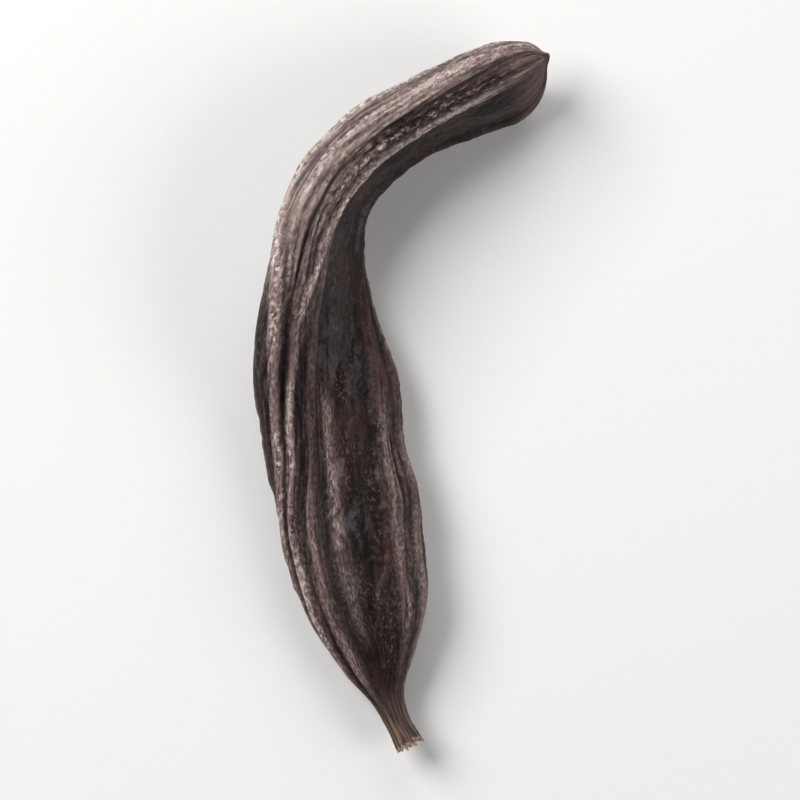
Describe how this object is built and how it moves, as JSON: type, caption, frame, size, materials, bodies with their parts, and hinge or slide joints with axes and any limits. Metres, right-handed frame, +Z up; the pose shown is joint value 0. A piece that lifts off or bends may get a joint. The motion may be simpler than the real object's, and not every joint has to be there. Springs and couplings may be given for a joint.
{
  "type": "carob pod",
  "caption": "Dried carob pod: a flat leathery pod with thick ribbed sutures and sunken wrinkled faces, twisted and hooked at the tip, with a short stub of stalk.",
  "frame": {"origin": "centre of the pod's bounding box, on the surface that the pod lies on", "axes": "+Z up from that surface, +Y from the stalk's end towards the hook, +X the way the hook turns"},
  "size_m": [0.0536, 0.129, 0.0235],
  "materials": {
    "carob_skin": "satin"
  },
  "bodies": {
    "root": {"carob_pod": "carob_skin"}
  },
  "joints": []
}
